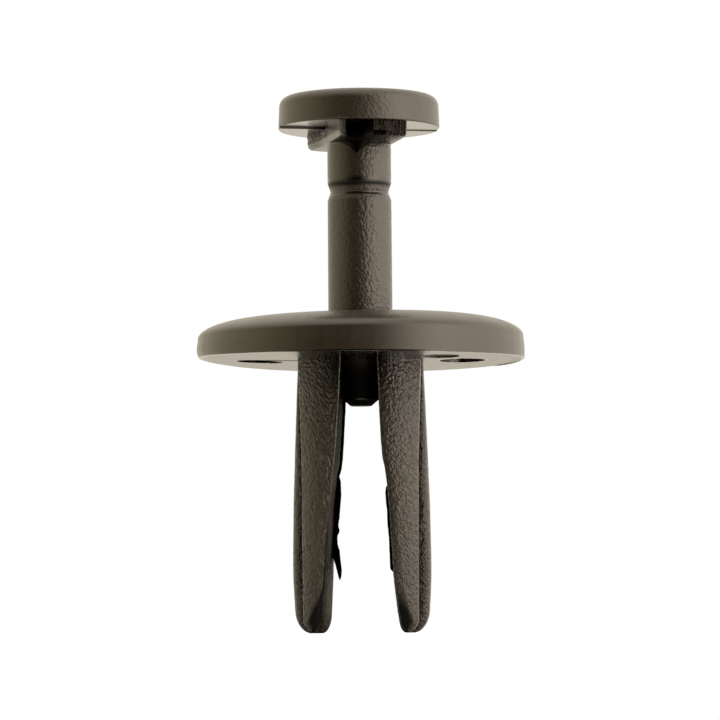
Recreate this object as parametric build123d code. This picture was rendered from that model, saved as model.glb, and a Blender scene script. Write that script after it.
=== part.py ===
from build123d import *
import math
import os

# Two-piece plastic push rivet, in millimetres: a grommet with two legs, and the pin that spreads
# them. It stands on the tips of its legs with the pin raised, ready to be pushed home. +Z runs up
# the pin, the legs stand side by side along X, and the origin is the centre of the flange's
# underside, the face that seats on the panel.

# Flange of the grommet
flange_diameter = 20.0
flange_top_diameter = 19.84
flange_thickness = 2.7
flange_flat_diameter = 13.2
flange_crown = 0.55
flange_top_round = 0.9
flange_bevel_width = 0.7
flange_bevel_rise = 0.14
bore_lead_in = 0.3
side_hole_diameter = 2.8
side_hole_offset = 6.2
ejector_mark_diameter = 2.3
ejector_mark_depth = 0.12
ejector_mark_offset = 6.4
ejector_mark_angle = -38.7

# Legs of the grommet, whose slot widens from the flange to the tips
leg_length = 16.5
shank_root_diameter = 7.4
shank_tip_diameter = 7.2
shank_end_round = 0.8
slot_root_width = 1.72
slot_guide_width = 2.22
slot_knee_width = 2.9
slot_middle_width = 3.42
slot_tip_width = 4.3
slot_flare = 0.3
guide_length = 7.2
knee_rise = 0.7
tip_inner_round = 0.45

# Outer rib of each leg, which swells into the barb
rib_thickness = 1.6
rib_root_height = 0.11
rib_waist_height = 0.39
rib_barb_height = 0.565
rib_waist_depth = 5.5
barb_top_depth = 9.3
barb_bottom_depth = 13.2
rib_tip_height = 0.446
rib_tip_round = 0.9
rib_edge_round = 0.25

# Pin
shaft_diameter = 3.92
shaft_clearance = 0.05
nose_length = 3.4
nose_end_diameter = 2.08
nose_chamfer = 0.4
raised_nose_depth = 2.8
groove_depth = 0.195
groove_width = 1.0
groove_below_bar = 2.9
travel = 10.6

# Head of the pin, on a stand-off bar that keeps a prying gap above the flange
head_diameter = 9.86
head_top_diameter = 9.76
head_thickness = 2.05
head_top_round = 0.75
head_bottom_chamfer = 0.12
bar_width = 4.2
bar_end_inset = 0.08
bar_height = 0.88
bar_angle = 104.5
bar_corner_round = 0.35
bar_bottom_round = 0.3

# Inner ramp of the legs: the pin's nose has to spread the two ramps by its own diameter
ramp_diameter = 3.2
ramp_rise = 0.9

# Derived places
guide_radius = shaft_diameter / 2 + shaft_clearance
bar_bottom = flange_thickness + travel
head_bottom = bar_bottom + bar_height
overshoot = 1.0


def shank_radius(depth):
    """Radius of the tapered shank at a depth below the flange."""
    root, tip = shank_root_diameter / 2, shank_tip_diameter / 2
    return root + (tip - root) * depth / leg_length


def drilled(diameter, x, y, bottom, top):
    """Upright cylinder from one height to another."""
    height = top - bottom
    return Pos(x, y, (bottom + top) / 2) * Cylinder(diameter / 2, height)


def drafted_disc(diameter, top_diameter, bottom, thickness):
    """Upright disc whose wall leans inwards towards the top, as a mould's draft leaves it."""
    return Pos(0, 0, bottom + thickness / 2) * Cone(diameter / 2, top_diameter / 2, thickness)


def turned(points):
    """Solid of revolution from corners given as (radius, height), closed along the axis."""
    outline = make_face(Polyline([(r, 0, z) for r, z in points], close=True))
    return revolve(outline, Axis.Z)


def flange_disc():
    """Disc with a bevel under its rim and a top that is flat in the middle and falls to a round."""
    rim = flange_diameter / 2
    shoulder = (flange_top_diameter / 2, flange_thickness - flange_crown)
    corners = [
        (0, 0),
        (rim - flange_bevel_width, 0),
        (rim, flange_bevel_rise),
        shoulder,
        (flange_flat_diameter / 2, flange_thickness),
        (0, flange_thickness),
    ]
    outline = make_face(Polyline(corners, close=True))
    top_corner = outline.vertices().filter_by(lambda v: math.dist((v.X, v.Y), shoulder) < 1e-4)
    return revolve(Plane.XZ * fillet(top_corner, flange_top_round), Axis.Z)


def edges_on_circle(part, radius, height):
    """Circular edges of one radius that lie flat at one height."""
    flat = part.edges().filter_by_position(Axis.Z, height - 1e-4, height + 1e-4)
    return flat.filter_by(GeomType.CIRCLE).filter_by(lambda edge: abs(edge.radius - radius) < 1e-4)


def make_flange():
    """Crowned round flange with the pin's bore, two side holes and an ejector mark underneath."""
    flange = flange_disc()
    flange -= drilled(2 * guide_radius, 0, 0, -1, flange_thickness + 1)
    flange = chamfer(edges_on_circle(flange, guide_radius, flange_thickness), bore_lead_in)
    for side in (-1, 1):
        flange -= drilled(side_hole_diameter, side * side_hole_offset, 0, -1, flange_thickness + 1)
    mark_x = ejector_mark_offset * math.cos(math.radians(ejector_mark_angle))
    mark_y = ejector_mark_offset * math.sin(math.radians(ejector_mark_angle))
    return flange - drilled(ejector_mark_diameter, mark_x, mark_y, -1, ejector_mark_depth)


def make_slot_side():
    """Right half of the slot in front of the legs' mid plane, flaring towards its mouth."""
    mid_plane = slot_outline(0)
    mouth = slot_outline(slot_flare)
    return loft([Plane.XZ * mid_plane, Plane.XZ.offset(shank_root_diameter / 2) * mouth])


def slot_outline(flare):
    """Right half of the slot seen from the front, with the legs' rounded inner tips."""
    root = slot_root_width / 2 + flare
    tip = slot_tip_width / 2 + flare
    guide_end = (slot_guide_width / 2 + flare, -(guide_length - knee_rise))
    knee = (slot_knee_width / 2 + flare, -guide_length)
    middle = (slot_middle_width / 2 + flare, -(guide_length + leg_length) / 2)
    round_start = (tip, tip_inner_round - leg_length)
    round_middle = (
        tip + tip_inner_round * (1 - math.cos(math.pi / 4)),
        tip_inner_round * (1 - math.sin(math.pi / 4)) - leg_length,
    )
    round_end = (tip + tip_inner_round, -leg_length)
    below = -leg_length - overshoot
    side = Polyline((-overshoot, overshoot), (root, overshoot), (root, 0), guide_end, knee)
    side += ThreePointArc(knee, middle, round_start)
    side += ThreePointArc(round_start, round_middle, round_end)
    side += Polyline(round_end, (round_end[0], below), (-overshoot, below), (-overshoot, overshoot))
    return make_face(side)


def leg_outline():
    """Right leg seen from the front, from the pin's axis to the back of the rib and its barb."""
    barb = shank_radius(barb_top_depth) + rib_barb_height
    waist = (shank_radius(rib_waist_depth) + rib_waist_height, -rib_waist_depth)
    root = (shank_radius(0) + rib_root_height, 0)
    toe = (shank_radius(leg_length) + rib_tip_height, -leg_length)
    outline = ThreePointArc(root, waist, (barb, -barb_top_depth))
    outline += Polyline((barb, -barb_top_depth), (barb, -barb_bottom_depth), toe)
    outline += Polyline(toe, (0, -leg_length), (0, 0), root)
    face = make_face(outline)
    return fillet(face.vertices().filter_by(lambda v: abs(v.X - toe[0]) < 1e-3), rib_tip_round)


def make_guide():
    """Channel that guides the pin between the legs and narrows to the ramps it pushes apart."""
    ramp_radius = ramp_diameter / 2
    ramp_top = -(guide_length - knee_rise / 2)
    corners = [
        (0, overshoot),
        (guide_radius, overshoot),
        (guide_radius, ramp_top),
        (ramp_radius, ramp_top - ramp_rise),
        (ramp_radius, -leg_length - overshoot),
        (0, -leg_length - overshoot),
    ]
    return turned(corners)


def make_right_leg():
    """One half of the split shank, with its rib, guide channel and ramp."""
    shank = Pos(0, 0, -leg_length / 2) * Cone(shank_tip_diameter / 2, shank_root_diameter / 2, leg_length)
    shank = fillet(edges_on_circle(shank, shank_tip_diameter / 2, -leg_length), shank_end_round)
    outline = Plane.XZ * leg_outline()
    rib = extrude(outline, rib_thickness / 2, both=True)
    rib_sides = rib.edges().filter_by(lambda edge: abs(edge.center().Y) > rib_thickness / 2 - 1e-4)
    rib_sides = rib_sides.filter_by(lambda edge: edge.center().X > shank_tip_diameter / 2)
    rib = fillet(rib_sides.filter_by(lambda edge: edge.center().Z < -1e-3), rib_edge_round)
    leg = (shank & extrude(outline, shank_root_diameter, both=True)) + rib
    slot = make_slot_side()
    return leg - slot - mirror(slot, Plane.XZ) - make_guide()


def make_pin():
    """Pin with its stand-off bar, detent groove and tapered nose, in the raised position."""
    radius = shaft_diameter / 2
    nose_radius = nose_end_diameter / 2
    groove_height = bar_bottom - groove_below_bar
    nose_end = -raised_nose_depth
    corners = [
        (0, head_bottom),
        (radius, head_bottom),
        (radius, groove_height + groove_width / 2),
        (radius - groove_depth, groove_height),
        (radius, groove_height - groove_width / 2),
        (radius, nose_end + nose_chamfer + nose_length),
        (nose_radius, nose_end + nose_chamfer),
        (nose_radius - nose_chamfer, nose_end),
        (0, nose_end),
    ]
    shaft = turned(corners)
    head = drafted_disc(head_diameter, head_top_diameter, head_bottom, head_thickness)
    head = fillet(edges_on_circle(head, head_top_diameter / 2, head_bottom + head_thickness), head_top_round)
    head = chamfer(edges_on_circle(head, head_diameter / 2, head_bottom), head_bottom_chamfer)
    return head + make_bar() + shaft


def make_bar():
    """Stand-off bar under the head, as long as the head is wide but for a small inset."""
    disc = drilled(head_diameter - 2 * bar_end_inset, 0, 0, bar_bottom, head_bottom)
    strip = Pos(0, 0, (bar_bottom + head_bottom) / 2) * Box(bar_width, head_diameter, bar_height)
    bar = disc & strip
    bar = fillet(bar.edges().filter_by(Axis.Z), bar_corner_round)
    bottom = bar.edges().filter_by_position(Axis.Z, bar_bottom - 1e-4, bar_bottom + 1e-4)
    bar = fillet(bottom, bar_bottom_round)
    return Rot(0, 0, bar_angle - 90) * bar


os.makedirs("parts", exist_ok=True)
right_leg = make_right_leg()
pieces = {
    "grommet_flange": make_flange(),
    "grommet_leg_right": right_leg,
    "grommet_leg_left": mirror(right_leg, Plane.YZ),
    "drive_pin": make_pin(),
}
for name, piece in pieces.items():
    export_step(piece, f"parts/{name}.step")
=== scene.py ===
import bpy
import bmesh
import math
import numpy as np
from mathutils import Matrix, Vector
from mathutils.geometry import delaunay_2d_cdt


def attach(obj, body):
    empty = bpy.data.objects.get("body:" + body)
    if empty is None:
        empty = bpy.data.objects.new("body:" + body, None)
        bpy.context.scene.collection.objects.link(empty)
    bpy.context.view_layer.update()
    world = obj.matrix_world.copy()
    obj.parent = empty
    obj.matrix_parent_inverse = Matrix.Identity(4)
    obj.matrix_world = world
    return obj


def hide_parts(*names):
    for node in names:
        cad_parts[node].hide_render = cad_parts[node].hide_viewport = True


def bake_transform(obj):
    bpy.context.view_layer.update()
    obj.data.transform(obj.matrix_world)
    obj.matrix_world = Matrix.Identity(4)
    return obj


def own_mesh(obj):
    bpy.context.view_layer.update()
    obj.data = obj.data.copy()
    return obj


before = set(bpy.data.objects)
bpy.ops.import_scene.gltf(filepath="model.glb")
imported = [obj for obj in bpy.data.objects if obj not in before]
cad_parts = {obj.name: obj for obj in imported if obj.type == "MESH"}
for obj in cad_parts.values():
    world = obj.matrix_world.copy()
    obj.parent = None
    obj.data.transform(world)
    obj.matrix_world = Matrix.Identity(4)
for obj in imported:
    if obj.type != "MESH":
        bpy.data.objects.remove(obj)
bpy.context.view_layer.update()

# ---------------------------------------------------------------------------------------------
# Flange of the grommet: a crowned nylon disc 20 mm across with the pin's bore, two small holes and
# an ejector mark, moulded in one piece with the legs. Its polished underside shrank a little upwards
# towards its ends, and its lower edge is crisp and slightly burnt where the mould parted.

MM = 0.001
FLANGE_RADIUS = 10.0
FLANGE_THICKNESS = 2.7
FLANGE_UNDERSIDE_RADIUS = 9.86
FLANGE_WALL_FOOT_RADIUS = 9.998
FLANGE_WALL_RADIUS, FLANGE_WALL_TOP = 9.93, 1.45
FLANGE_FLAT_RADIUS = 5.7
FLANGE_PLATE_RADIUS = 8.9
FLANGE_LEAN = 0.008
CROWN_WIDTH = FLANGE_WALL_RADIUS - FLANGE_FLAT_RADIUS
CROWN_RISE = FLANGE_THICKNESS - FLANGE_WALL_TOP
# Places across the flange, and how far the underside shrank upwards there.
WARP = (
    [-10, -9.5, -8.4, -7.2, -6.2, -4, 0, 4, 6.2, 8.4, 9.2, 10],
    [0.27, 0.25, 0.17, 0.115, 0.09, 0.04, 0.02, 0.0, 0.015, 0.05, 0.09, 0.13])
WARP_FADE = 1.2
LEFT_END_SHRINK, LEFT_END_FADE = 0.016, 0.6
STREAK_DEPTH = 0.12
BORE_RADIUS = 2.01
BORE_LEAD_IN = 0.3
SIDE_HOLE_RADIUS = 1.4
SIDE_HOLE_OFFSET = 6.2
RIGHT_MOUTH_DRAWN_OUT = 0.25
MARK_PLACE, MARK_SIZE, MARK_DEPTH, MARK_SLOPE = (5.0, -4.3), (1.15, 1.6), 0.1, 0.04
RIM_COLUMNS, BORE_COLUMNS, HOLE_COLUMNS, MARK_COLUMNS = 480, 96, 84, 64
HOLE_ROWS = 12
PLATE_SPACING = 0.25
NYLON_MATT = (0.0135, 0.0108, 0.0064)
NYLON_POLISHED = (0.0012, 0.0011, 0.0009)
NYLON_BURNT = (0.017, 0.0095, 0.0055)
PEBBLE_WIDTH, PEBBLE_HEIGHT = 0.15, 0.045
PEBBLE_SLANT = 80.0
MOTTLE_SCALE, COARSE_SCALE, FINE_SCALE = 900.0, 5600.0, 11000.0

# A finish says how high the grain stands at a point, how matt and burnt the nylon is, and how dull: dull is
# black without shine and mostly painted shade.
FINISHES = ("grain", "matt", "burnt", "dull")
# Painted shade: black and without shine.
PAINTED_SHADE_FINISH = (0.0, 0.0, 0.0, 1.0)
UNDERSIDE_FINISH = (0.0, 0.3, 0.0, 0.2)
# Painted shade: the underside is polished dark in front of the legs.
PAINTED_SHADE_BEFORE_LEGS_FINISH = (0.0, 0.0, 0.0, 0.0)
# Inside the bore and the holes: polished walls, darkened as painted shade.
INNER_WALL_PAINTED_SHADE_FINISH = (0.1, 0.0, 0.0, 0.0)
TOP_FINISH = (0.1, 1.0, 0.0, 0.0)
MARK_WALL_FINISH = (0.5, 0.9, 0.5, 0.0)
MARK_FLOOR_FINISH = (0.6, 0.5, 0.6, 0.9)


def loop_faces(rows, columns):
    """Quads between rows of points that lie round a piece."""
    faces = []
    for row in range(rows - 1):
        low, high = row * columns, (row + 1) * columns
        for column in range(columns):
            beside = (column + 1) % columns
            faces.append((low + column, low + beside, high + beside, high + column))
    return faces


def capped_faces(rows, columns):
    """The same quads, with one face over the first row and one over the last."""
    last = (rows - 1) * columns
    return loop_faces(rows, columns) + [tuple(range(columns)), tuple(range(last, last + columns))]


def piece_mesh(name, points, faces, finish, smooth_angle=32):
    """Closed mesh object from points in millimetres, with outward normals and a finish at each point."""
    finish = np.asarray(finish, np.float32)
    mesh = bpy.data.meshes.new(name)
    mesh.from_pydata((np.asarray(points, float) * MM).tolist(), [], faces)
    for column, attribute in enumerate(FINISHES):
        values = np.ascontiguousarray(finish[:, column])
        mesh.attributes.new(attribute, "FLOAT", "POINT").data.foreach_set("value", values)
    work = bmesh.new()
    work.from_mesh(mesh)
    bmesh.ops.remove_doubles(work, verts=work.verts, dist=2e-7)
    bmesh.ops.recalc_face_normals(work, faces=work.faces)
    work.to_mesh(mesh)
    work.free()
    mesh.shade_smooth()
    mesh.set_sharp_from_angle(angle=math.radians(smooth_angle))
    piece = bpy.data.objects.new(name, mesh)
    bpy.context.scene.collection.objects.link(piece)
    return piece


def ring(radius, z, turns, centre=(0, 0)):
    """Points round a circle, or an ellipse with two radii, at one height."""
    across, along = np.broadcast_to(radius, 2)
    x = centre[0] + across * np.cos(turns)
    y = centre[1] + along * np.sin(turns)
    return np.stack([x, y, np.full(len(turns), float(z))], 1)


def round_turns(columns):
    """Angles evenly spaced round a whole turn."""
    return np.linspace(0, 2 * np.pi, columns, endpoint=False)


def spaced(profile, step):
    """The same profile with no two of its points further apart than a step."""
    dense = [profile[0]]
    for before, after in zip(profile, profile[1:]):
        parts = max(1, math.ceil(math.dist(before, after) / step))
        run = np.array(after) - before
        dense += [tuple(np.array(before) + run * k / parts) for k in range(1, parts + 1)]
    return dense


def within(outline, points):
    """Which of the points lie inside a closed outline."""
    a, b = outline[:, :2, None], np.roll(outline[:, :2], -1, axis=0)[:, :, None]
    x, y = points[:, 0], points[:, 1]
    rise = np.where(b[:, 1] == a[:, 1], 1e-9, b[:, 1] - a[:, 1])
    crossed = ((a[:, 1] > y) != (b[:, 1] > y)) & (x < (b[:, 0] - a[:, 0]) * (y - a[:, 1]) / rise + a[:, 0])
    return crossed.sum(axis=0) % 2 == 1


def filled(outline, holes, height, spacing):
    """Triangles that fill an outline around its holes, over a scatter of points at a given height."""
    flat, edges = [], []
    for loop in [outline] + holes:
        first = len(flat)
        flat += [tuple(p[:2]) for p in loop]
        edges += [(first + k, first + (k + 1) % len(loop)) for k in range(len(loop))]
    low, high = outline[:, :2].min(axis=0), outline[:, :2].max(axis=0)
    scatter = []
    for number, y in enumerate(np.arange(low[1], high[1], spacing)):
        shift = (number % 2) * spacing / 2
        scatter += [(x + shift, y) for x in np.arange(low[0], high[0], spacing)]
    scatter = np.array(scatter)
    to_borders = scatter[:, None] - np.array(flat)[None]
    gaps = np.hypot(to_borders[:, :, 0], to_borders[:, :, 1]).min(axis=1)
    keep = within(outline, scatter) & (gaps > 0.6 * spacing)
    for loop in holes:
        keep &= ~within(loop, scatter)
    flat += [tuple(p) for p in scatter[keep]]
    found = delaunay_2d_cdt([Vector(p) for p in flat], edges, [], 0, 1e-6)
    place = np.array([tuple(p) for p in found[0]])
    middles = np.array([place[list(face)].mean(axis=0) for face in found[2]])
    inside = within(outline, middles)
    for loop in holes:
        inside &= ~within(loop, middles)
    points = np.column_stack([place, height(place[:, 0], place[:, 1])])
    return points, [tuple(face) for face, good in zip(found[2], inside) if good]


def joined(parts):
    """One list of points, faces and finishes from several parts."""
    points, faces, finishes, first = [], [], [], 0
    for part_points, part_faces, finish in parts:
        points.append(part_points)
        faces += [tuple(v + first for v in face) for face in part_faces]
        finishes.append(np.broadcast_to(finish, (len(part_points), len(FINISHES))))
        first += len(part_points)
    return np.concatenate(points), faces, np.concatenate(finishes)


def flange_top(x, y):
    """Height of the crowned top, an ellipse's quarter outside the flat middle."""
    out = np.clip((np.hypot(x, y) - FLANGE_FLAT_RADIUS) / CROWN_WIDTH, 0, 1)
    return FLANGE_WALL_TOP + CROWN_RISE * np.sqrt(1 - out ** 2)


def flange_underside(x, y):
    """Height of the underside, which shrank a little upwards to the left and right of the legs."""
    return np.mean([np.interp(x + shift, *WARP) for shift in np.linspace(-0.8, 0.8, 9)], axis=0) + 0 * y


def on_surface(loop, surface):
    """A flat loop of points laid on a surface."""
    return np.column_stack([loop[:, :2], surface(loop[:, 0], loop[:, 1])])


def leaned(points):
    """The flange is a little thicker on the right than on the left."""
    points[:, 2] += FLANGE_LEAN * points[:, 0] * np.clip(points[:, 2] / FLANGE_THICKNESS, 0, 1)
    return points


# The rim, from the underside's edge up the wall and over the crown to where the top's plate begins.
rim_turns = round_turns(RIM_COLUMNS)
rim_profile = [
    (FLANGE_UNDERSIDE_RADIUS, 0.0),
    (FLANGE_RADIUS - 0.045, 0.006),
    (FLANGE_RADIUS - 0.012, 0.02),
    (FLANGE_RADIUS, 0.06)]
wall = [(FLANGE_WALL_FOOT_RADIUS, 0.1), (FLANGE_WALL_FOOT_RADIUS, 0.8)]
rim_profile += spaced(wall + [(FLANGE_WALL_RADIUS, FLANGE_WALL_TOP)], 0.12)
crown_start = math.acos((FLANGE_PLATE_RADIUS - FLANGE_FLAT_RADIUS) / CROWN_WIDTH)
for turn in np.linspace(0, crown_start, 17)[1:]:
    radius = FLANGE_FLAT_RADIUS + CROWN_WIDTH * math.cos(turn)
    rim_profile.append((radius, FLANGE_WALL_TOP + CROWN_RISE * math.sin(turn)))
rim_rows = [ring(r, z, rim_turns) for r, z in rim_profile]
for row, (r, z) in zip(rim_rows, rim_profile):
    row[:, 2] += flange_underside(row[:, 0], row[:, 1]) * max(0, 1 - z / WARP_FADE)
    drawn_in = np.clip(-row[:, 0] / r, 0, 1) ** 4 * max(0, 1 - z / LEFT_END_FADE) ** 2
    row[:, :2] *= 1 - LEFT_END_SHRINK * drawn_in[:, None]
rim_rows[0] = on_surface(rim_rows[0], flange_underside)
rim_rows[-1] = on_surface(rim_rows[-1], flange_top)
rim_points = np.concatenate(rim_rows)

# The lower edge is burnt and, as painted shade, black in front of the legs, and the wall has faint upright
# streaks.
rim_heights = [z for r, z in rim_profile]
rim_matt = np.interp(rim_heights, [0.02, 0.08], [0.2, 1])
rim_burnt = np.interp(rim_heights, [0, 0.05, 0.1, 0.22], [0, 1, 0.8, 0])
rim_finish = np.column_stack([0 * rim_matt + 0.04, rim_matt, rim_burnt, 0 * rim_matt])
rim_finish = np.repeat(rim_finish, RIM_COLUMNS, axis=0)
streaks = np.random.RandomState(8).uniform(-1, 1, RIM_COLUMNS)
streaks = 1 + STREAK_DEPTH * (streaks + 0.5 * np.roll(streaks, 1) + 0.5 * np.roll(streaks, -1))
rim_finish[:, 1] *= np.tile(streaks, len(rim_rows))
in_shade = np.interp(np.abs(rim_points[:, 0]), [3.4, 4.6], [1, 0])
in_shade *= (rim_points[:, 2] < 0.09) * (rim_points[:, 1] < 0)
rim_finish += in_shade[:, None] * (PAINTED_SHADE_FINISH - rim_finish)

bore_turns = round_turns(BORE_COLUMNS)
bore_low = on_surface(ring(BORE_RADIUS, 0, bore_turns), flange_underside)
bore_high = on_surface(ring(BORE_RADIUS + BORE_LEAD_IN, 0, bore_turns), flange_top)
bore_rows = [bore_low, ring(BORE_RADIUS, FLANGE_THICKNESS - BORE_LEAD_IN, bore_turns), bore_high]
bore_finish = np.repeat([INNER_WALL_PAINTED_SHADE_FINISH, INNER_WALL_PAINTED_SHADE_FINISH, TOP_FINISH], BORE_COLUMNS, axis=0)

# The right hole's mouth is drawn out to the front and back, and ragged in front.
hole_turns = round_turns(HOLE_COLUMNS)
ragged = 0.12 * np.sin(5 * hole_turns + 0.6) * np.sin(9 * hole_turns) + 0.2
ragged = np.where(np.sin(hole_turns) < 0, ragged * np.sqrt(np.abs(np.sin(hole_turns))), 0.05)
side_holes = []
for side, along in ((-1, SIDE_HOLE_RADIUS), (1, SIDE_HOLE_RADIUS + RIGHT_MOUTH_DRAWN_OUT + ragged)):
    loop = ring(SIDE_HOLE_RADIUS, 0, hole_turns, (side * SIDE_HOLE_OFFSET, 0))
    low = loop.copy()
    low[:, 1] = along * np.sin(hole_turns)
    side_holes.append((on_surface(low, flange_underside), on_surface(loop, flange_top)))
hole_finish = np.repeat([INNER_WALL_PAINTED_SHADE_FINISH] * (HOLE_ROWS - 1) + [TOP_FINISH], HOLE_COLUMNS, axis=0)

mark_turns = round_turns(MARK_COLUMNS)
mark_rim = on_surface(ring(MARK_SIZE, 0, mark_turns, MARK_PLACE), flange_underside)
mark_floor = ring(np.array(MARK_SIZE) - MARK_SLOPE, 0, mark_turns, MARK_PLACE)
mark_floor = on_surface(mark_floor, flange_underside) + [0, 0, MARK_DEPTH]

low_holes = [bore_low] + [low for low, high in side_holes] + [mark_rim]
low_points, low_faces = filled(rim_rows[0], low_holes, flange_underside, PLATE_SPACING)
# Painted shade: the underside in front of the legs is polished dark.
painted_shade_before_legs = (np.abs(low_points[:, :1]) < 3.3) & (low_points[:, 1:2] < -1)
low_finish = np.where(painted_shade_before_legs, [PAINTED_SHADE_BEFORE_LEGS_FINISH], [UNDERSIDE_FINISH])
high_holes = [bore_high] + [high for low, high in side_holes]
high_points, high_faces = filled(rim_rows[-1], high_holes, flange_top, PLATE_SPACING)

parts = [
    (rim_points, loop_faces(len(rim_rows), RIM_COLUMNS), rim_finish),
    (np.concatenate(bore_rows), loop_faces(len(bore_rows), BORE_COLUMNS), bore_finish)]
for low, high in side_holes:
    rows = [low + (high - low) * share for share in np.linspace(0, 1, HOLE_ROWS)]
    parts.append((np.concatenate(rows), loop_faces(HOLE_ROWS, HOLE_COLUMNS), hole_finish))
parts += [
    (np.concatenate([mark_rim, mark_floor]), loop_faces(2, MARK_COLUMNS), MARK_WALL_FINISH),
    (mark_floor, [tuple(range(MARK_COLUMNS))], MARK_FLOOR_FINISH),
    (low_points, low_faces, low_finish),
    (high_points, high_faces, TOP_FINISH)]
flange_points, flange_faces, flange_finish = joined(parts)
flange = piece_mesh("flange", leaned(flange_points), flange_faces, flange_finish)


class Signal:
    """A socket of a node tree. Python's operators on it add its Math nodes."""

    def __init__(self, socket):
        self.socket = socket

    def math(self, operation, *values):
        return wire(self.socket.id_data, "ShaderNodeMath", {"operation": operation}, dict(enumerate(values)))

    def vector(self, operation, *values):
        settings = {"operation": operation}
        return wire(self.socket.id_data, "ShaderNodeVectorMath", settings, dict(enumerate(values)))

    def __add__(self, other):
        return self.math("ADD", self, other)

    def __radd__(self, other):
        return self.math("ADD", other, self)

    def __sub__(self, other):
        return self.math("SUBTRACT", self, other)

    def __rsub__(self, other):
        return self.math("SUBTRACT", other, self)

    def __mul__(self, other):
        return self.math("MULTIPLY", self, other)

    def __rmul__(self, other):
        return self.math("MULTIPLY", other, self)

    def __truediv__(self, other):
        return self.math("DIVIDE", self, other)

    def __rtruediv__(self, other):
        return self.math("DIVIDE", other, self)


def wire(tree, kind, settings=None, inputs=None, output=0):
    """Adds a node, sets its settings first, then the values or links of its sockets."""
    node = tree.nodes.new(kind)
    for name, value in (settings or {}).items():
        if name == "stops":
            ramp = node.color_ramp
            while len(ramp.elements) < len(value):
                ramp.elements.new(0.5)
            for element, (place, colour) in zip(ramp.elements, value):
                element.position, element.color = place, (*colour, 1.0)
        else:
            setattr(node, name, value)
    for name, value in (inputs or {}).items():
        socket = node.inputs[name]
        if isinstance(value, Signal):
            tree.links.new(value.socket, socket)
        else:
            socket.default_value = value
    return Signal(node.outputs[output]) if node.outputs else node


def mixed(tree, share, first, second, way="MIX"):
    """Two colours mixed, from the first at a share of 0 to the second at 1."""
    settings = {"data_type": "RGBA", "blend_type": way}
    return wire(tree, "ShaderNodeMix", settings, {0: share, 6: first, 7: second}, 2)


def pebbles(tree, place, scale, slant, seed):
    """Noise with pebbles at one scale, drawn out along a slant round the upright axis."""
    height = wire(tree, "ShaderNodeSeparateXYZ", {}, {0: place}, 2)
    turn = {"Vector": place, "Angle": height * slant}
    turned = wire(tree, "ShaderNodeVectorRotate", {"rotation_type": "Z_AXIS"}, turn)
    drawn = turned.vector("MULTIPLY", turned, (1.0, 1.0, 0.8))
    return wire(tree, "ShaderNodeTexNoise", {"noise_dimensions": "4D"}, {
        "Vector": drawn, "W": seed, "Scale": scale, "Detail": 1.5, "Roughness": 0.5})


def grain_nodes():
    """Geometry nodes that raise the pebbled grain of an eroded mould, as high as the finish says."""
    tree = bpy.data.node_groups.new("moulded grain", "GeometryNodeTree")
    tree.interface.new_socket("Piece", in_out="INPUT", socket_type="NodeSocketGeometry")
    for name in ("Pebble width", "Pebble height", "Slant", "Seed"):
        tree.interface.new_socket(name, in_out="INPUT", socket_type="NodeSocketFloat")
    tree.interface.new_socket("Finish", in_out="INPUT", socket_type="NodeSocketMaterial")
    tree.interface.new_socket("Piece", in_out="OUTPUT", socket_type="NodeSocketGeometry")
    entry = tree.nodes.new("NodeGroupInput")
    bare, width, height, slant, seed, finish = [Signal(socket) for socket in entry.outputs[:6]]
    place = wire(tree, "GeometryNodeInputPosition")
    noise = pebbles(tree, place, 0.65 / width, slant, seed)
    grain = wire(tree, "GeometryNodeInputNamedAttribute", {"data_type": "FLOAT"}, {"Name": "grain"})
    lift = (noise - 0.5) * 2.0 * height * grain
    outward = wire(tree, "GeometryNodeInputNormal")
    lifts = wire(tree, "ShaderNodeCombineXYZ", {}, {0: lift, 1: lift, 2: lift})
    offset = outward.vector("MULTIPLY", outward, lifts)
    raised = wire(tree, "GeometryNodeSetPosition", {}, {"Geometry": bare, "Offset": offset})
    real = wire(tree, "GeometryNodeRealizeInstances", {}, {"Geometry": raised})
    finished = wire(tree, "GeometryNodeSetMaterial", {}, {"Geometry": real, "Material": finish})
    wire(tree, "NodeGroupOutput", {}, {0: finished})
    return tree


moulded_grain = grain_nodes()


def grained(piece, material, seed, height=PEBBLE_HEIGHT):
    """Gives a piece its grain and material, as a plain mesh. The grain's height is in millimetres."""
    modifier = piece.modifiers.new("moulded grain", "NODES")
    modifier.node_group = moulded_grain
    values = {
        "Pebble width": PEBBLE_WIDTH * MM, "Pebble height": height * MM, "Slant": PEBBLE_SLANT,
        "Seed": seed, "Finish": material}
    for item in moulded_grain.interface.items_tree:
        if item.in_out == "INPUT" and item.name in values:
            modifier[item.identifier] = values[item.name]
    depsgraph = bpy.context.evaluated_depsgraph_get()
    mesh = bpy.data.meshes.new_from_object(
        piece.evaluated_get(depsgraph), preserve_all_data_layers=True, depsgraph=depsgraph)
    piece.modifiers.remove(modifier)
    mesh.name = piece.name
    piece.data = mesh


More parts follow.
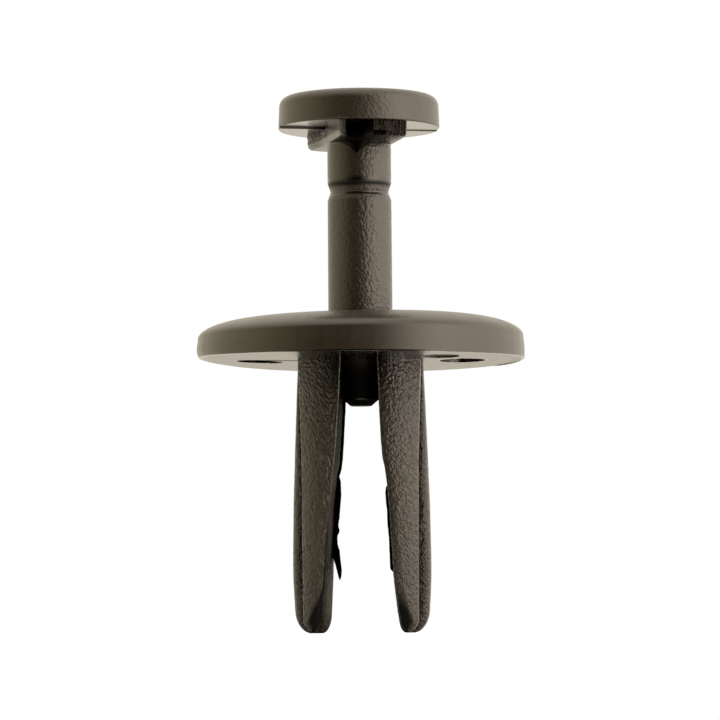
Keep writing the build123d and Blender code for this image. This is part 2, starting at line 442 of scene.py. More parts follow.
def nylon(name):
    """Olive-brown nylon: matt and pebbled from the eroded mould, dark and glossy off its polished cores, and
    black without shine where the finish paints shade.
    """
    material = bpy.data.materials.new(name)
    material.use_nodes = True
    tree = material.node_tree
    tree.nodes.clear()
    place = wire(tree, "ShaderNodeTexCoord", output="Object")
    grain, matt, burnt, dull = [
        wire(tree, "ShaderNodeAttribute", {"attribute_name": attribute}, output="Fac")
        for attribute in FINISHES]
    mottle = wire(tree, "ShaderNodeTexNoise", {}, {"Vector": place, "Scale": MOTTLE_SCALE, "Detail": 3.0})
    coarse = pebbles(tree, place, COARSE_SCALE, PEBBLE_SLANT, 7.0)
    fine = pebbles(tree, place, FINE_SCALE, PEBBLE_SLANT, 3.0)
    skin = mixed(tree, matt, (*NYLON_POLISHED, 1), (*NYLON_MATT, 1))
    browned = mixed(tree, burnt, skin, (*NYLON_BURNT, 1))
    cloud = mixed(tree, mottle, (0.8, 0.8, 0.78, 1), (1.2, 1.2, 1.22, 1))
    shade = mixed(tree, 1.0, browned, cloud, "MULTIPLY")
    relief = (coarse * 0.7 + fine * 0.3) * grain
    bump = wire(tree, "ShaderNodeBump", {}, {"Height": relief, "Strength": 1.0, "Distance": 0.2 * MM})
    # Dull parts turn metallic over the dark base, so they go black without shine: painted shade.
    roughness = 0.13 + matt * 0.19 + mottle * 0.04 + dull * 0.5
    shader = wire(tree, "ShaderNodeBsdfPrincipled", {}, {
        "Base Color": shade, "Roughness": roughness, "Metallic": dull, "Normal": bump,
        "IOR": 1.5, "Specular Tint": (1.05, 1.0, 0.94, 1)})
    wire(tree, "ShaderNodeOutputMaterial", {}, {"Surface": shader})
    return material


olive_nylon = nylon("olive nylon")
grained(flange, olive_nylon, seed=0.0)
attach(flange, "grommet")
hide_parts("grommet_flange")

# ---------------------------------------------------------------------------------------------
# What the mould left on the flange, in the same nylon: the witness of an insert, a strip that stands
# just proud between the left hole and the leg, and a thin ragged burr under the right of the rim.

STRIP_RISE, STRIP_ROOT = 0.025, 0.1
STRIP_FROM, STRIP_TO, STRIP_HALF = -5.65, -3.3, 1.32
BURR_ROWS, BURR_COLUMNS = 90, 5
BURR_DROP = 0.075
BURR_FINISH = (0.2, 0.1, 0.4, 0.0)


def strip_face(x, y):
    """Height of the witness strip's face."""
    return flange_underside(x, y) - STRIP_RISE


strip_x = np.linspace(STRIP_FROM, STRIP_TO, 24)
strip_turns = np.radians(np.linspace(-68, 68, 30))
round_hole = ring(SIDE_HOLE_RADIUS + 0.02, 0, strip_turns, (-SIDE_HOLE_OFFSET, 0))
far_edge = [(x, STRIP_HALF, 0) for x in strip_x]
near_edge = [(x, -STRIP_HALF, 0) for x in strip_x[::-1]]
strip = np.concatenate([far_edge, near_edge, round_hole[1:-1]])
strip_low = on_surface(strip, strip_face)
strip_high = on_surface(strip, flange_underside) + [0, 0, STRIP_ROOT]
strip_points, strip_faces, strip_finish = joined([
    (np.concatenate([strip_low, strip_high]), loop_faces(2, len(strip)), UNDERSIDE_FINISH),
    (strip_high, [tuple(range(len(strip)))], UNDERSIDE_FINISH),
    (*filled(strip_low, [], strip_face, 0.2), UNDERSIDE_FINISH)])
witness = piece_mesh("witness_strip", leaned(strip_points), strip_faces, strip_finish)

burr_turns = np.radians(np.linspace(3, 35, BURR_ROWS))
burr_drops = BURR_DROP * np.sin(np.linspace(0, np.pi, BURR_ROWS)) ** 0.5
burr_drops = burr_drops * (0.75 + 0.25 * np.sin(burr_turns * 61) * np.sin(burr_turns * 143))
burr_rows = []
for turn, drop in zip(burr_turns, burr_drops):
    section = [(9.86, 0.06), (9.8, -0.01), (9.82, -drop), (9.86, -drop), (9.93, 0.03)]
    base = float(np.interp(9.85 * math.cos(turn), *WARP))
    burr_rows.append([(r * math.cos(turn), r * math.sin(turn), base + z) for r, z in section])
burr_points = np.array(burr_rows).reshape(-1, 3)
burr_finish = np.tile(BURR_FINISH, (len(burr_points), 1))
burr = piece_mesh("rim_burr", leaned(burr_points), capped_faces(BURR_ROWS, BURR_COLUMNS), burr_finish)

for number, piece in enumerate((witness, burr)):
    grained(piece, olive_nylon, seed=1.0 + number)
    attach(piece, "grommet")

# ---------------------------------------------------------------------------------------------
# The two legs of the split shank, moulded with the flange: round at the sides and flattened front and
# back, each with a square rib that swells into the barb. The mould's eroded grain covers them, torn
# coarse along the ribs' sides, and the slot between them is polished and a little off centre. The slot's
# faces, the bend into its mouth, the scoop at the tips and the front under the flange are darkened with
# painted shade, and the slot's faces are painted lighter towards the tips.

LEG_LENGTH = 16.5
LEG_STEP = 0.066
ROOT_EMBED = 0.25
SHANK_END_ROUND = 0.85
# Depths below the flange, and how far the front and the side stand from the pin's axis there.
FRONT = ([0, 16.5], [3.35, 3.2])
SIDE_PLACE = ([0, 3, 6, 16.5], [3.7, 3.6, 3.5, 3.44])
SIDE_TURN = math.radians(52)
FRONT_POINTS = 48
SLOT_END_ROUND = {"left": (0.55, 1.1), "right": (0.42, 0.67)}
# Half the slot's width on each side, in the middle of the shank and at the slot's mouth.
SLOT_DEPTHS = [0, 2.6, 4.7, 5.9, 6.45, 7.1, 9.3, 10.8, 12.9, 14.0, 15.2, 16.05]
SLOT_HALF = {
    "left": [0.74, 0.84, 0.93, 1.0, 1.1, 1.4, 1.62, 1.70, 1.75, 1.80, 1.86, 1.90],
    "right": [0.98, 1.08, 1.15, 1.21, 1.40, 1.50, 1.68, 1.76, 1.87, 1.98, 2.13, 2.26],
}
MOUTH_DEPTHS = [0, 2.3, 5.0, 6.6, 8.4, 11.3, 13.8, 15.2, 16.05]
MOUTH_HALF = {
    "left": [1.05, 1.17, 1.376, 1.52, 1.74, 1.98, 2.16, 2.32, 2.42],
    "right": [1.10, 1.20, 1.36, 1.56, 1.78, 1.98, 2.16, 2.32, 2.44],
}
# Depths over which the slot's mouth turns dark with painted shade.
MOUTH_PAINTED_SHADE = {"left": [8, 11], "right": [13.5, 15]}
# How far the slot's face gives way to the round of its mouth.
SCOOP = ([0, 13.6, 14.6, 15.6, 16.5], [0.09, 0.1, 0.28, 0.62, 0.8])
GUIDE_HALF = 0.3
GUIDE_RADIUS, RAMP_RADIUS = 2.01, 1.6
RAMP_DEPTHS = [6.85, 7.75]
RIB_HALF = 0.8
RIB_EDGE = 0.45
RIB_FILLET = 0.04
# How far the rib stands from the pin's axis.
RIB_REACH = (
    [0, 2.8, 5.66, 8.6, 12, 13, 14, 15, 16.5],
    [3.79, 3.92, 4.035, 4.14, 4.2, 4.195, 4.155, 4.095, 3.98])
TOE_WIDTH, TOE_HEIGHT = 0.9, 1.3
TIP_RISE, TIP_SCALE = 0.012, 0.96


def at_depth(depth, depths, values):
    """A value at a depth below the flange, from a table of depths and values."""
    return float(np.interp(depth, depths, values))


def rounded(depth, across, along):
    """How far a round of this width and height at the leg's end has drawn in at a depth."""
    into = np.clip((depth - (LEG_LENGTH - along)) / along, 0, 1)
    return across * (1 - math.sqrt(1 - into ** 2))


def bend(start, corner, end, steps):
    """Points of a rounded corner, without its two ends."""
    t = np.linspace(0, 1, steps + 2)[1:-1, None]
    start, corner, end = (np.array(p, float) for p in (start, corner, end))
    return ((1 - t) ** 2 * start + 2 * t * (1 - t) * corner + t ** 2 * end).tolist()


def slot_face(depth, half, flare, end):
    """Points of the slot's face, from the pin's guide or ramp in its middle out to an end."""
    spread = 1 + flare ** 2
    guide = at_depth(depth, RAMP_DEPTHS, [GUIDE_RADIUS, RAMP_RADIUS])
    meet = GUIDE_HALF
    if guide > half:
        meet = max(meet, (-half * flare + math.sqrt(guide ** 2 * spread - half ** 2)) / spread)
    # Painted shade: the slot's face is dull and black, most of all near the flange; towards the tips it is
    # painted lighter and browner, with coarser grain, and duller again at its mouth.
    dark = at_depth(depth, [9, 14], [1.0, 0.75])
    tips_painted_light = at_depth(depth, [6, 10, 14], [0, 1, 1.6])
    points = []
    for y in np.linspace(0, meet, 12)[:-1]:
        x = max(half + flare * y, math.sqrt(max(guide ** 2 - y ** 2, 0)))
        points.append((x, y, 0.05, 0.0, 0.0, dark))
    for number, y in enumerate(np.linspace(meet, end, 15)):
        mouth_painted_shade = max(dark, min(1.0, tips_painted_light) * float(np.interp(number, [5, 10], [0, 1])))
        burnt = 0.6 * min(1.0, tips_painted_light)
        points.append((half + flare * y, y, 0.5 + 0.6 * tips_painted_light, 0.25 * tips_painted_light, burnt, mouth_painted_shade))
    return points


def front_face(depth, side_name, slot_end, mouth, side):
    """Points of the front, from the slot's end over its mouth and round to the leg's side."""
    lip, front = mouth
    scoop = at_depth(depth, *SCOOP)
    radius = (side - lip) / math.sin(SIDE_TURN)
    start_turn = min(scoop / radius, 0.5)
    start = (lip + radius * math.sin(start_turn), front - radius * (1 - math.cos(start_turn)))
    # Painted shade: near the tip the smooth scoop is dull and dark, lifting again at the tip's end, and the
    # bend into the mouth turns dark.
    grain = at_depth(depth, [13.6, 15], [0.5, 0.1])
    matt = at_depth(depth, [13.9, 15, 15.9, 16.3], [1.0, 0.1, 0.1, 0.9])
    dark = at_depth(depth, MOUTH_PAINTED_SHADE[side_name], [0, 1])
    painted_shade_bend_finish = (grain, 0.6 * matt * (1 - 0.8 * dark), 0.0, max(0.5 * (1 - matt), 0.8 * dark))
    points = [(x, y, *painted_shade_bend_finish) for x, y in bend(slot_end, mouth, start, 6)]
    # Painted shade under the flange: near the root the front darkens towards the slot.
    flange_painted_shade = 0.85 * math.exp(-(max(depth, 0) / 2.2) ** 2)
    for number, turn in enumerate(np.linspace(start_turn, SIDE_TURN, FRONT_POINTS)):
        x, y = lip + radius * math.sin(turn), front - radius * (1 - math.cos(turn))
        clear = 1 - flange_painted_shade * (1 - number / (FRONT_POINTS - 1))
        finish = (
            min(1.0, grain + number * 0.06) * (0.4 + 0.6 * clear),
            clear * min(1.0, matt + number * 0.08),
            0.0,
            0.9 * (1 - matt) * max(0.0, 1 - number * 0.07))
        points.append((x, y, *finish))
    return points


def rib_face(depth, front_end, side):
    """Points from the front's end down the leg's side, and over the rib to its middle."""
    reach = at_depth(depth, *RIB_REACH) - rounded(depth, TOE_WIDTH, TOE_HEIGHT)
    torn = at_depth(depth, [0, 2, 5, 15.2, 16.2], [0.8, 1.2, 2.6, 2.6, 0.8])
    root = (min(side + 0.03, reach - 0.04), RIB_HALF)
    corner = (side + 0.02, front_end[1] - 0.1)
    below = (side + 0.025, corner[1] - 0.25)
    points = [(x, y, 1.0, 1.0, 0.0, 0.0) for x, y in bend(front_end, corner, below, 5)]
    for share in np.linspace(0, 1, 9)[:-1]:
        points.append((below[0], below[1] + (RIB_HALF + 0.05 - below[1]) * share, 1.0, 1.0, 0.0, 0.0))
    edge = min(RIB_EDGE, 0.75 * (reach - root[0]))
    fillet = min(RIB_FILLET, (reach - edge - root[0]) / 2)
    foot = bend(points[-1][:2], root, (root[0] + fillet, RIB_HALF), 2)
    points += [(x, y, 0.8, 1.0, 0.0, 0.0) for x, y in foot]
    for x in np.linspace(root[0] + fillet, reach - edge, 8)[:-1]:
        points.append((x, RIB_HALF, torn, 0.7, 0.1, 0.0))
    for turn in np.linspace(np.pi / 2, 0, 12):
        x, y = reach - edge + edge * math.cos(turn), RIB_HALF - edge + edge * math.sin(turn)
        points.append((x, y, 0.5 + (torn - 0.5) * math.sin(turn) ** 6, 1.0, 0.0, 0.0))
    points += [(reach, y, 0.5, 1.0, 0.0, 0.0) for y in np.linspace(RIB_HALF - edge, 0, 6)[1:]]
    return points


def leg_section(depth, side_name):
    """Half outline of a leg, from the slot's middle to the rib's: x, y and the four finishes."""
    opened = rounded(depth, *SLOT_END_ROUND[side_name])
    half = at_depth(depth, SLOT_DEPTHS, SLOT_HALF[side_name]) + opened
    lip = at_depth(depth, MOUTH_DEPTHS, MOUTH_HALF[side_name]) + opened
    drawn_in = rounded(depth, SHANK_END_ROUND, SHANK_END_ROUND)
    front = at_depth(depth, *FRONT) - drawn_in
    side = at_depth(depth, *SIDE_PLACE) - drawn_in
    points = slot_face(depth, half, (lip - half) / front, front - at_depth(depth, *SCOOP))
    points += front_face(depth, side_name, points[-1][:2], (lip, front), side)
    points += rib_face(depth, points[-1][:2], side)
    return np.array(points)


def leg_parts(side_name):
    """Points, faces and finishes of a right-hand leg with one side's slot."""
    straight = np.arange(0, LEG_LENGTH - TOE_HEIGHT, LEG_STEP)
    toe = LEG_LENGTH - TOE_HEIGHT * (1 - np.sin(np.linspace(0, np.pi / 2, 30)))
    lowest = LEG_LENGTH - TIP_RISE
    depths = [d for d in np.concatenate([[-ROOT_EMBED], straight, toe]) if d < lowest] + [lowest]
    rows, finishes = [], []
    for depth in depths:
        half_outline = leg_section(depth, side_name)
        outline = np.concatenate([half_outline * [1, -1, 1, 1, 1, 1], half_outline[1:-1][::-1]])
        rows.append(np.column_stack([outline[:, :2], np.full(len(outline), -depth)]))
        finishes.append(outline[:, 2:])
    middle = rows[-1].mean(axis=0)
    tip = middle + (rows[-1] - middle) * TIP_SCALE
    tip[:, 2] = -LEG_LENGTH
    rows.append(tip)
    finishes.append(finishes[-1])
    return np.concatenate(rows), capped_faces(len(rows), len(tip)), np.concatenate(finishes)


for side_name, side in (("left", -1), ("right", 1)):
    leg_points, leg_faces, leg_finish = leg_parts(side_name)
    leg = piece_mesh(f"leg_{side_name}", leg_points * [side, 1, 1], leg_faces, leg_finish, 40)
    grained(leg, olive_nylon, seed=10.0 + side)
    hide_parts(f"grommet_leg_{side_name}")
    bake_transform(leg)

# ---------------------------------------------------------------------------------------------
# Flash in the slot: paper-thin black sheets of nylon where the mould's two blades met, ragged along
# their free edge. The left one ends in a loose tail that hangs clear of the leg.

FLASH_PLACE = -0.45
FLASH_THICKNESS = 0.07
FLASH_FINISH = (0.3, 0.0, 0.0, 1.0)
LEFT_FLASH = [
    (-2.02, 7.0), (-1.42, 6.98), (-1.32, 7.04), (-1.25, 7.3), (-1.235, 7.7), (-1.22, 8.04),
    (-1.27, 8.7), (-1.33, 9.37), (-1.38, 9.7), (-1.42, 9.98), (-1.39, 10.1), (-1.35, 10.22),
    (-1.37, 10.4), (-1.45, 10.56), (-1.48, 10.7), (-1.47, 11.08), (-1.41, 11.3), (-1.35, 11.48),
    (-1.32, 11.8), (-1.30, 12.09), (-1.26, 12.4), (-1.235, 12.63), (-1.23, 12.85), (-1.26, 13.05),
    (-1.31, 13.22), (-1.36, 13.31), (-1.41, 13.2), (-1.46, 13.0), (-1.51, 12.8), (-1.56, 12.6),
    (-1.62, 12.35), (-1.685, 12.15), (-1.74, 11.98), (-1.82, 11.9), (-2.05, 11.7)]
RIGHT_FLASH = [
    (2.05, 7.6), (1.5, 7.62), (1.45, 8.0), (1.49, 8.6), (1.545, 9.1), (1.56, 9.7), (1.60, 10.3),
    (1.65, 10.8), (1.665, 11.4), (1.69, 12.0), (1.705, 12.5), (1.73, 12.66), (1.80, 12.74),
    (1.88, 12.82), (2.05, 12.85)]


def flash_face(way):
    """The height of a sheet's near or far face, which is slightly wavy."""
    def height(x, depth):
        waves = way * FLASH_THICKNESS / 2 + 0.03 * np.sin(depth * 2.1)
        return waves + 0.02 * np.sin(depth * 5.3 + 9 * x)
    return height


def flash_sheet(name, outline):
    """Thin closed sheet that stands in the slot, from its outline of places across and depths."""
    corners = np.array(spaced(outline + outline[:1], 0.05)[:-1])
    wander = np.random.RandomState(5).normal(0, 0.006, (len(corners), 2))
    corners += (wander + np.roll(wander, 1, axis=0)) / 2
    flat = np.column_stack([corners, np.zeros(len(corners))])
    rim = np.concatenate([on_surface(flat, flash_face(-1)), on_surface(flat, flash_face(1))])
    points, faces, finish = joined([
        (*filled(flat, [], flash_face(-1), 0.06), FLASH_FINISH),
        (*filled(flat, [], flash_face(1), 0.06), FLASH_FINISH),
        (rim, loop_faces(2, len(flat)), FLASH_FINISH)])
    placed = np.column_stack([points[:, 0], FLASH_PLACE + points[:, 2], -points[:, 1]])
    return piece_mesh(name, placed, faces, finish)


for side_name, outline, anchor in (("left", LEFT_FLASH, -1.95), ("right", RIGHT_FLASH, 1.95)):
    flash = flash_sheet(f"flash_{side_name}", outline)
    grained(flash, olive_nylon, seed=20.0, height=0.008)
    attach(flash, f"leg_{side_name}")
    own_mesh(flash)

# ---------------------------------------------------------------------------------------------
# Drive pin: a round shaft with a detent groove and a tapered nose, under a drafted round head that
# stands on a cross bar. The mould parted lengthwise, so one half of the head's underside is a hair
# higher than the other, and the gate was torn from the near end of the bar.

SHAFT_TOP = 13.6
SHAFT_TOP_RADIUS, SHAFT_RADIUS = 1.945, 1.96
SHAFT_COLUMNS = 176
GROOVE_HEIGHT = 10.4
GROOVE_RADIUS = SHAFT_TOP_RADIUS + 0.004
# How deep the groove is cut, at heights from its middle.
GROOVE = [(0, 0.53), (0.03, 0.47), (0.165, 0.05), (0.195, 0.0), (0.165, -0.05), (0.03, -0.47), (0, -0.53)]
NOSE_END = -2.7
NOSE = [
    (SHAFT_RADIUS, 1.1), (1.05, -2.21), (1.085, -2.24), (1.1, -2.28), (1.085, -2.32), (1.03, -2.36),
    (0.66, NOSE_END + 0.02), (0.62, NOSE_END)]

shaft_profile = [(SHAFT_TOP_RADIUS, SHAFT_TOP)]
shaft_profile += [(GROOVE_RADIUS - cut, GROOVE_HEIGHT + up) for cut, up in GROOVE]
shaft_profile = spaced(shaft_profile + [(SHAFT_RADIUS, FLANGE_THICKNESS)] + NOSE, 0.068)
shaft_profile += [(0.35, NOSE_END), (0.05, NOSE_END)]
shaft_rows = [ring(r, z, round_turns(SHAFT_COLUMNS)) for r, z in shaft_profile]
shaft_points = np.concatenate(shaft_rows)

# The shaft is matt but for a glossy dark line of painted shade in the groove, a band of painted shade above
# it, and a smooth painted shadow under the bar, towards which the matt fades. The nose is polished and
# darkened with painted shade, but for a glossy bead round its end.
shaft_heights = [z for r, z in shaft_profile]
matt_and_shade_heights = [-1.0, 0.9, 10.12, 10.2, 10.24, 10.3, 10.6, 10.75, 11.0, 11.35, 13.0, 13.35]
shaft_matt_and_shade = np.interp(shaft_heights, matt_and_shade_heights, [0, 1, 1, 0, 0, 1, 1, 0, 0, 1, 1, 0.2])
# Painted shade: the nose and the band above the groove are dull and black.
painted_shade_heights = [-2.4, -2.38, -2.3, -2.2, -0.6, 1.0, 10.55, 10.8, 11.05]
shaft_painted_shade = np.interp(shaft_heights, painted_shade_heights, [1, 0.4, 0, 0.85, 0.85, 0, 0, 0.85, 0])
shaft_finish = np.column_stack([0.52 * shaft_matt_and_shade, shaft_matt_and_shade, 0 * shaft_matt_and_shade, shaft_painted_shade])
shaft_finish = np.repeat(shaft_finish, SHAFT_COLUMNS, axis=0)
shaft_grain = ([-1.9, -1.0, -0.2, 0.3, 0.9], [0.3, 0.4, 0.7, 0.8, 1])
shaft_finish[:, 0] *= np.interp(shaft_points[:, 0], *shaft_grain)
# A painted shadow: a polished dark wedge on the shaft's front under the bar.
painted_shadow_half = 0.75 * np.clip((shaft_points[:, 2] - 12.6) / 0.75, 0, 1)
painted_shadow_under_bar = (np.abs(shaft_points[:, 0] + 0.05) < painted_shadow_half) & (shaft_points[:, 1] < 0)
shaft_finish[painted_shadow_under_bar] = (0.05, 0.0, 0.0, 0.0)
shaft_faces = capped_faces(len(shaft_rows), SHAFT_COLUMNS)
shaft = piece_mesh("pin_shaft", shaft_points, shaft_faces, shaft_finish)
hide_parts("drive_pin")

HEAD_BOTTOM, HEAD_TOP = 14.24, 16.28
HEAD_RADIUS, HEAD_TOP_RADIUS = 4.93, 4.88
HEAD_ROUND = 0.65
HEAD_FINISH = (0.2, 1.0, 0.0, 0.0)
HEAD_UNDERSIDE_FINISH = (0.0, 0.3, 0.0, 0.0)
BAR_BOTTOM = 13.39
BAR_HALF, BAR_END = 2.1, 4.85
BAR_TURN = math.radians(14.5)
BAR_CORNER, BAR_EDGE = 0.35, 0.34
BAR_FINISH = (0.3, 0.9, 0.0, 0.0)
SPECKLE_FINISH = (2.2, 1.0, 0.1, 0.0)
# Torn grain, dull and dark: partly painted shade under the head.
TORN_AND_PAINTED_SHADE_FINISH = (1.6, 0.3, 0.2, 0.75)
BAR_SWELL = 0.3
TEAR_DEPTH = 0.07
# Places across the bar, and how deep the torn gate's notch is there.
NOTCH = ([-1.75, -1.5, -0.4, -0.1], [0, 1.8, 1.45, 0])

# The head's underside steps along the parting, which runs across the bar.
parting = math.degrees(BAR_TURN)
parting_edges = [parting - 0.08, parting + 0.08, parting + 179.92, parting + 180.08]
head_turns = np.sort(np.concatenate([np.linspace(0, 360, 356, endpoint=False), parting_edges]))
head_columns = len(head_turns)
lift_turns = [0, parting - 0.07, parting + 0.07, parting + 179.93, parting + 180.07, 250, 290, 360]
lift = np.interp(head_turns, lift_turns, [0.05, 0.05, 0, 0, 0.12, 0.1, 0.06, 0.05])
head_profile = [(0.05, HEAD_TOP)]
head_profile += spaced([(0.3, HEAD_TOP), (HEAD_TOP_RADIUS - HEAD_ROUND, HEAD_TOP)], 0.12)
for turn in np.linspace(np.pi / 2, 0, 19)[1:]:
    radius = HEAD_TOP_RADIUS - HEAD_ROUND * (1 - math.cos(turn))
    head_profile.append((radius, HEAD_TOP - HEAD_ROUND * (1 - math.sin(turn))))
head_profile += spaced([head_profile[-1], (HEAD_RADIUS, HEAD_BOTTOM + 0.12)], 0.1)[1:]
head_profile += [(HEAD_RADIUS - 0.02, HEAD_BOTTOM + 0.05), (HEAD_RADIUS - 0.07, HEAD_BOTTOM)]
head_profile += spaced([(HEAD_RADIUS - 0.12, HEAD_BOTTOM), (1.5, HEAD_BOTTOM)], 0.12)
head_profile += [(0.05, HEAD_BOTTOM)]
head_rows, head_finish = [], []
for r, z in head_profile:
    row = ring(r, z, np.radians(head_turns))
    below = z < HEAD_BOTTOM + 0.13
    row[:, 2] += lift * below
    head_rows.append(row)
    head_finish += [HEAD_UNDERSIDE_FINISH if below and r < 4.9 else HEAD_FINISH] * head_columns
head_points, head_finish = np.concatenate(head_rows), np.array(head_finish)
head_finish[:, 0] *= np.interp(head_points[:, 0], [-4.9, -1.5, 0], [0.4, 0.5, 1])
head = piece_mesh("pin_head", head_points, capped_faces(len(head_rows), head_columns), head_finish)


def make_bar_plan():
    """Outline (u, v) of the bar, u across it and v along it."""
    meet = math.sqrt(BAR_END ** 2 - BAR_HALF ** 2)
    turn = math.asin(BAR_HALF / BAR_END) - BAR_CORNER / BAR_END
    far = [(BAR_END * math.sin(t), BAR_END * math.cos(t)) for t in np.linspace(turn, -turn, 150)]
    near = [(-u, -v) for u, v in far]
    right = [(BAR_HALF, v) for v in np.linspace(-(meet - BAR_CORNER), meet - BAR_CORNER, 90)]
    left = [(-BAR_HALF, v) for v in np.linspace(meet - BAR_CORNER, -(meet - BAR_CORNER), 90)]
    far_right = bend(right[-1], (BAR_HALF, meet), far[0], 8)
    far_left = bend(far[-1], (-BAR_HALF, meet), left[0], 8)
    near_left = bend(left[-1], (-BAR_HALF, -meet), near[0], 8)
    near_right = bend(near[-1], (BAR_HALF, -meet), right[0], 8)
    return np.array(right + far_right + far + far_left + left + near_left + near + near_right)


bar_plan = make_bar_plan()
tears = np.random.RandomState(11)
tear_places = np.linspace(-BAR_HALF, BAR_HALF, 64)
tear_high = tears.uniform(-1, 1, 64)
tear_low = tears.uniform(-1, 1, 64)


def bar_level(inset, share):
    """Outline and finish of the bar at a share of its height, swollen at its left and torn in front."""
    outline = bar_plan.copy()
    finish = np.tile(BAR_FINISH, (len(outline), 1))
    u, v = bar_plan.T
    swell = np.clip((v - 1.2) / 2.6, 0, 1)
    swollen = (u < 0) & (np.abs(v) < BAR_END)
    outline[:, 0] -= np.where(swollen, BAR_SWELL * swell ** 2 * (3 - 2 * swell), 0)
    finish[(u < -BAR_HALF + 0.05) & (v > -0.6) & (share > 0.45)] = SPECKLE_FINISH
    at_near = v < -math.sqrt(BAR_END ** 2 - BAR_HALF ** 2) + 0.02
    notch = np.interp(u, *NOTCH)
    tear = (1 - share) * np.interp(u, tear_places, tear_low) + share * np.interp(u, tear_places, tear_high)
    torn = (u > -0.3) * (TEAR_DEPTH + TEAR_DEPTH * tear) * (np.abs(u) < 1.95)
    drawn_in = inset * np.interp(u, [-2, 2], [1.6, 0.45]) / BAR_END
    outline -= outline * drawn_in[:, None]
    outline[:, 1] += np.where(at_near, notch + torn, 0)
    # The torn near end is dull and dark, partly painted shade under the head; the notch and the bar's bottom
    # beside it are painted black as shade.
    finish[at_near & (u > -0.3)] = TORN_AND_PAINTED_SHADE_FINISH
    painted_shade_under_notch = (np.abs(u + 0.5) < 1.2) & (share < 0.3)
    finish[at_near & ((notch > 0.02) | painted_shade_under_notch)] = PAINTED_SHADE_FINISH
    cosine, sine = math.cos(BAR_TURN), math.sin(BAR_TURN)
    return outline @ np.array([[cosine, sine], [-sine, cosine]]), finish


bar_levels = [(0.0, HEAD_BOTTOM + 0.3)]
bar_levels += [(0.0, z) for z in np.linspace(HEAD_BOTTOM + 0.12, BAR_BOTTOM + BAR_EDGE, 11)]
for turn in np.linspace(0.15, np.pi / 2, 9):
    bar_levels.append((BAR_EDGE * (1 - math.cos(turn)), BAR_BOTTOM + BAR_EDGE * (1 - math.sin(turn))))
bar_rows, bar_finish = [], []
for inset, z in bar_levels:
    outline, finish = bar_level(inset, (z - BAR_BOTTOM) / (HEAD_BOTTOM - BAR_BOTTOM))
    bar_rows.append(np.column_stack([outline, np.full(len(outline), z)]))
    bar_finish.append(finish)
bar_faces = capped_faces(len(bar_rows), len(bar_plan))
bar = piece_mesh("pin_bar", np.concatenate(bar_rows), bar_faces, np.concatenate(bar_finish), 40)

for number, piece in enumerate((shaft, head, bar)):
    grained(piece, olive_nylon, seed=30.0 + number)
    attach(piece, "pin")

# ---------------------------------------------------------------------------------------------
# Stage: a pale floor in a studio that is brightest to the right and dark only behind the camera. To
# the camera itself the studio is plain white, and of the floor little but the shadow shows.

FLOOR = -16.5 * MM
FLOOR_CORNERS = [(-60, -22), (60, -22), (60, 90), (-60, 90)]
# Round the studio: degrees to the right from behind the camera, the light there, and how blue it is.
SURROUND = [
    (-180, 1.15, 0.85), (-150, 1.2, 0.8), (-120, 1.3, 0.76), (-98, 1.4, 0.72), (-80, 1.3, 0.7),
    (-66, 1.05, 0.68), (-52, 0.7, 0.66), (-38, 0.28, 0.64), (-24, 0.08, 0.62), (-12, 0.0, 0.7),
    (4, 0.0, 0.8), (14, 0.13, 0.8), (26, 1.2, 0.86), (38, 2.9, 0.88), (50, 4.0, 0.88),
    (66, 4.3, 0.88), (80, 3.6, 0.88), (98, 2.9, 0.88), (120, 2.1, 0.88), (150, 1.4, 0.87),
    (180, 1.15, 0.85)]
ABOVE_AND_BELOW = (2.15, 1.97, 1.74, 1)
WHITE = (1, 1, 1, 1)

floor_mesh = bpy.data.meshes.new("floor")
floor_mesh.from_pydata([(x * MM, y * MM, FLOOR) for x, y in FLOOR_CORNERS], [], [(0, 1, 2, 3)])
floor = bpy.data.objects.new("floor", floor_mesh)
bpy.context.scene.collection.objects.link(floor)
pale = bpy.data.materials.new("pale floor")
pale.use_nodes = True
tree = pale.node_tree
tree.nodes.clear()
seen = wire(tree, "ShaderNodeLightPath", output="Is Camera Ray")
plain = wire(tree, "ShaderNodeBsdfDiffuse", {}, {"Color": (0.7, 0.7, 0.7, 1)})
bright = wire(tree, "ShaderNodeEmission", {}, {"Color": WHITE, "Strength": 1.2})
surface = wire(tree, "ShaderNodeMixShader", {}, {0: seen * 0.8, 1: plain, 2: bright})
wire(tree, "ShaderNodeOutputMaterial", {}, {"Surface": surface})
floor_mesh.materials.append(pale)

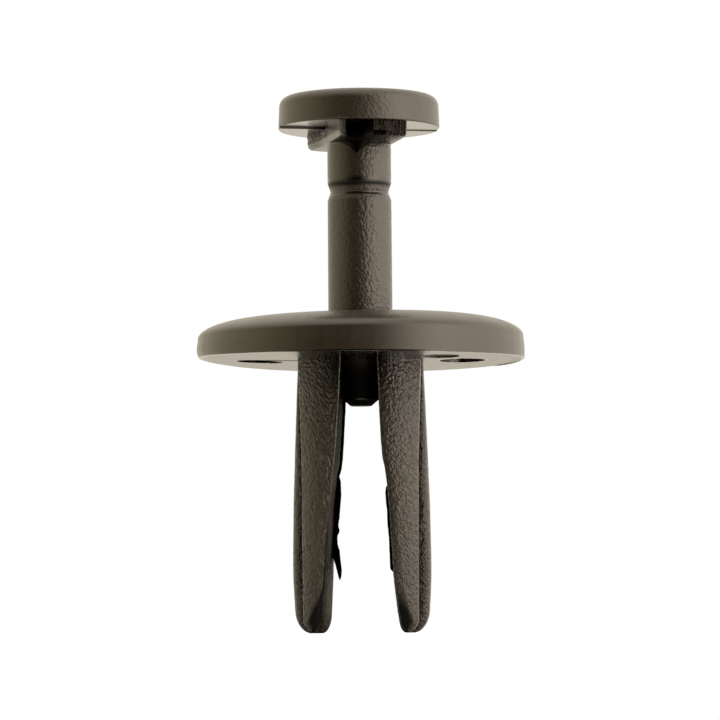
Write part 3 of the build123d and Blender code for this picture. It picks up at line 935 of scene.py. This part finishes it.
world = bpy.data.worlds.new("studio")
bpy.context.scene.world = world
world.use_nodes = True
tree = world.node_tree
tree.nodes.clear()
direction = wire(tree, "ShaderNodeTexCoord", output="Generated")
right = wire(tree, "ShaderNodeSeparateXYZ", {}, {0: direction}, 0)
away = wire(tree, "ShaderNodeSeparateXYZ", {}, {0: direction}, 1)
up = wire(tree, "ShaderNodeSeparateXYZ", {}, {0: direction}, 2)
turn = right.math("ARCTAN2", right, away * -1) / (2 * math.pi) + 0.5
stops = [(angle / 360 + 0.5, (1.1 * light, light, blue * light)) for angle, light, blue in SURROUND]
walls = wire(tree, "ShaderNodeValToRGB", {"stops": stops}, {0: turn})
steep = wire(tree, "ShaderNodeMapRange", {"interpolation_type": "SMOOTHSTEP"}, {
    "Value": up.math("ABSOLUTE", up), "From Min": 0.45, "From Max": 0.95})
studio = mixed(tree, steep, walls, ABOVE_AND_BELOW)
seen = wire(tree, "ShaderNodeLightPath", output="Is Camera Ray")
glow = mixed(tree, seen, studio, WHITE)
lit = wire(tree, "ShaderNodeBackground", {}, {"Color": glow, "Strength": 1.0})
wire(tree, "ShaderNodeOutputWorld", {}, {"Surface": lit})

# ---------------------------------------------------------------------------------------------
# Camera: a long lens a quarter of a metre off, level with the tips of the legs and a little to the
# right, looking up at the flange and rolled by half a degree.

CAMERA_PLACE, CAMERA_AIM = (11.5, -245.0, -16.3), (-0.045, 0.0, 0.12)
CAMERA_LENS = 201.4
CAMERA_ROLL = math.radians(-0.45)

camera = bpy.data.objects.new("camera", bpy.data.cameras.new("camera"))
bpy.context.scene.collection.objects.link(camera)
bpy.context.scene.camera = camera
camera.data.sensor_width = 36
camera.data.lens = CAMERA_LENS
camera.location = Vector(CAMERA_PLACE) * MM
looking = (Vector(CAMERA_AIM) * MM - camera.location).to_track_quat("-Z", "Y").to_matrix()
looking = looking @ Matrix.Rotation(CAMERA_ROLL, 3, "Z")
camera.matrix_world = Matrix.Translation(camera.location) @ looking.to_4x4()

bpy.context.scene.view_settings.view_transform = "Standard"
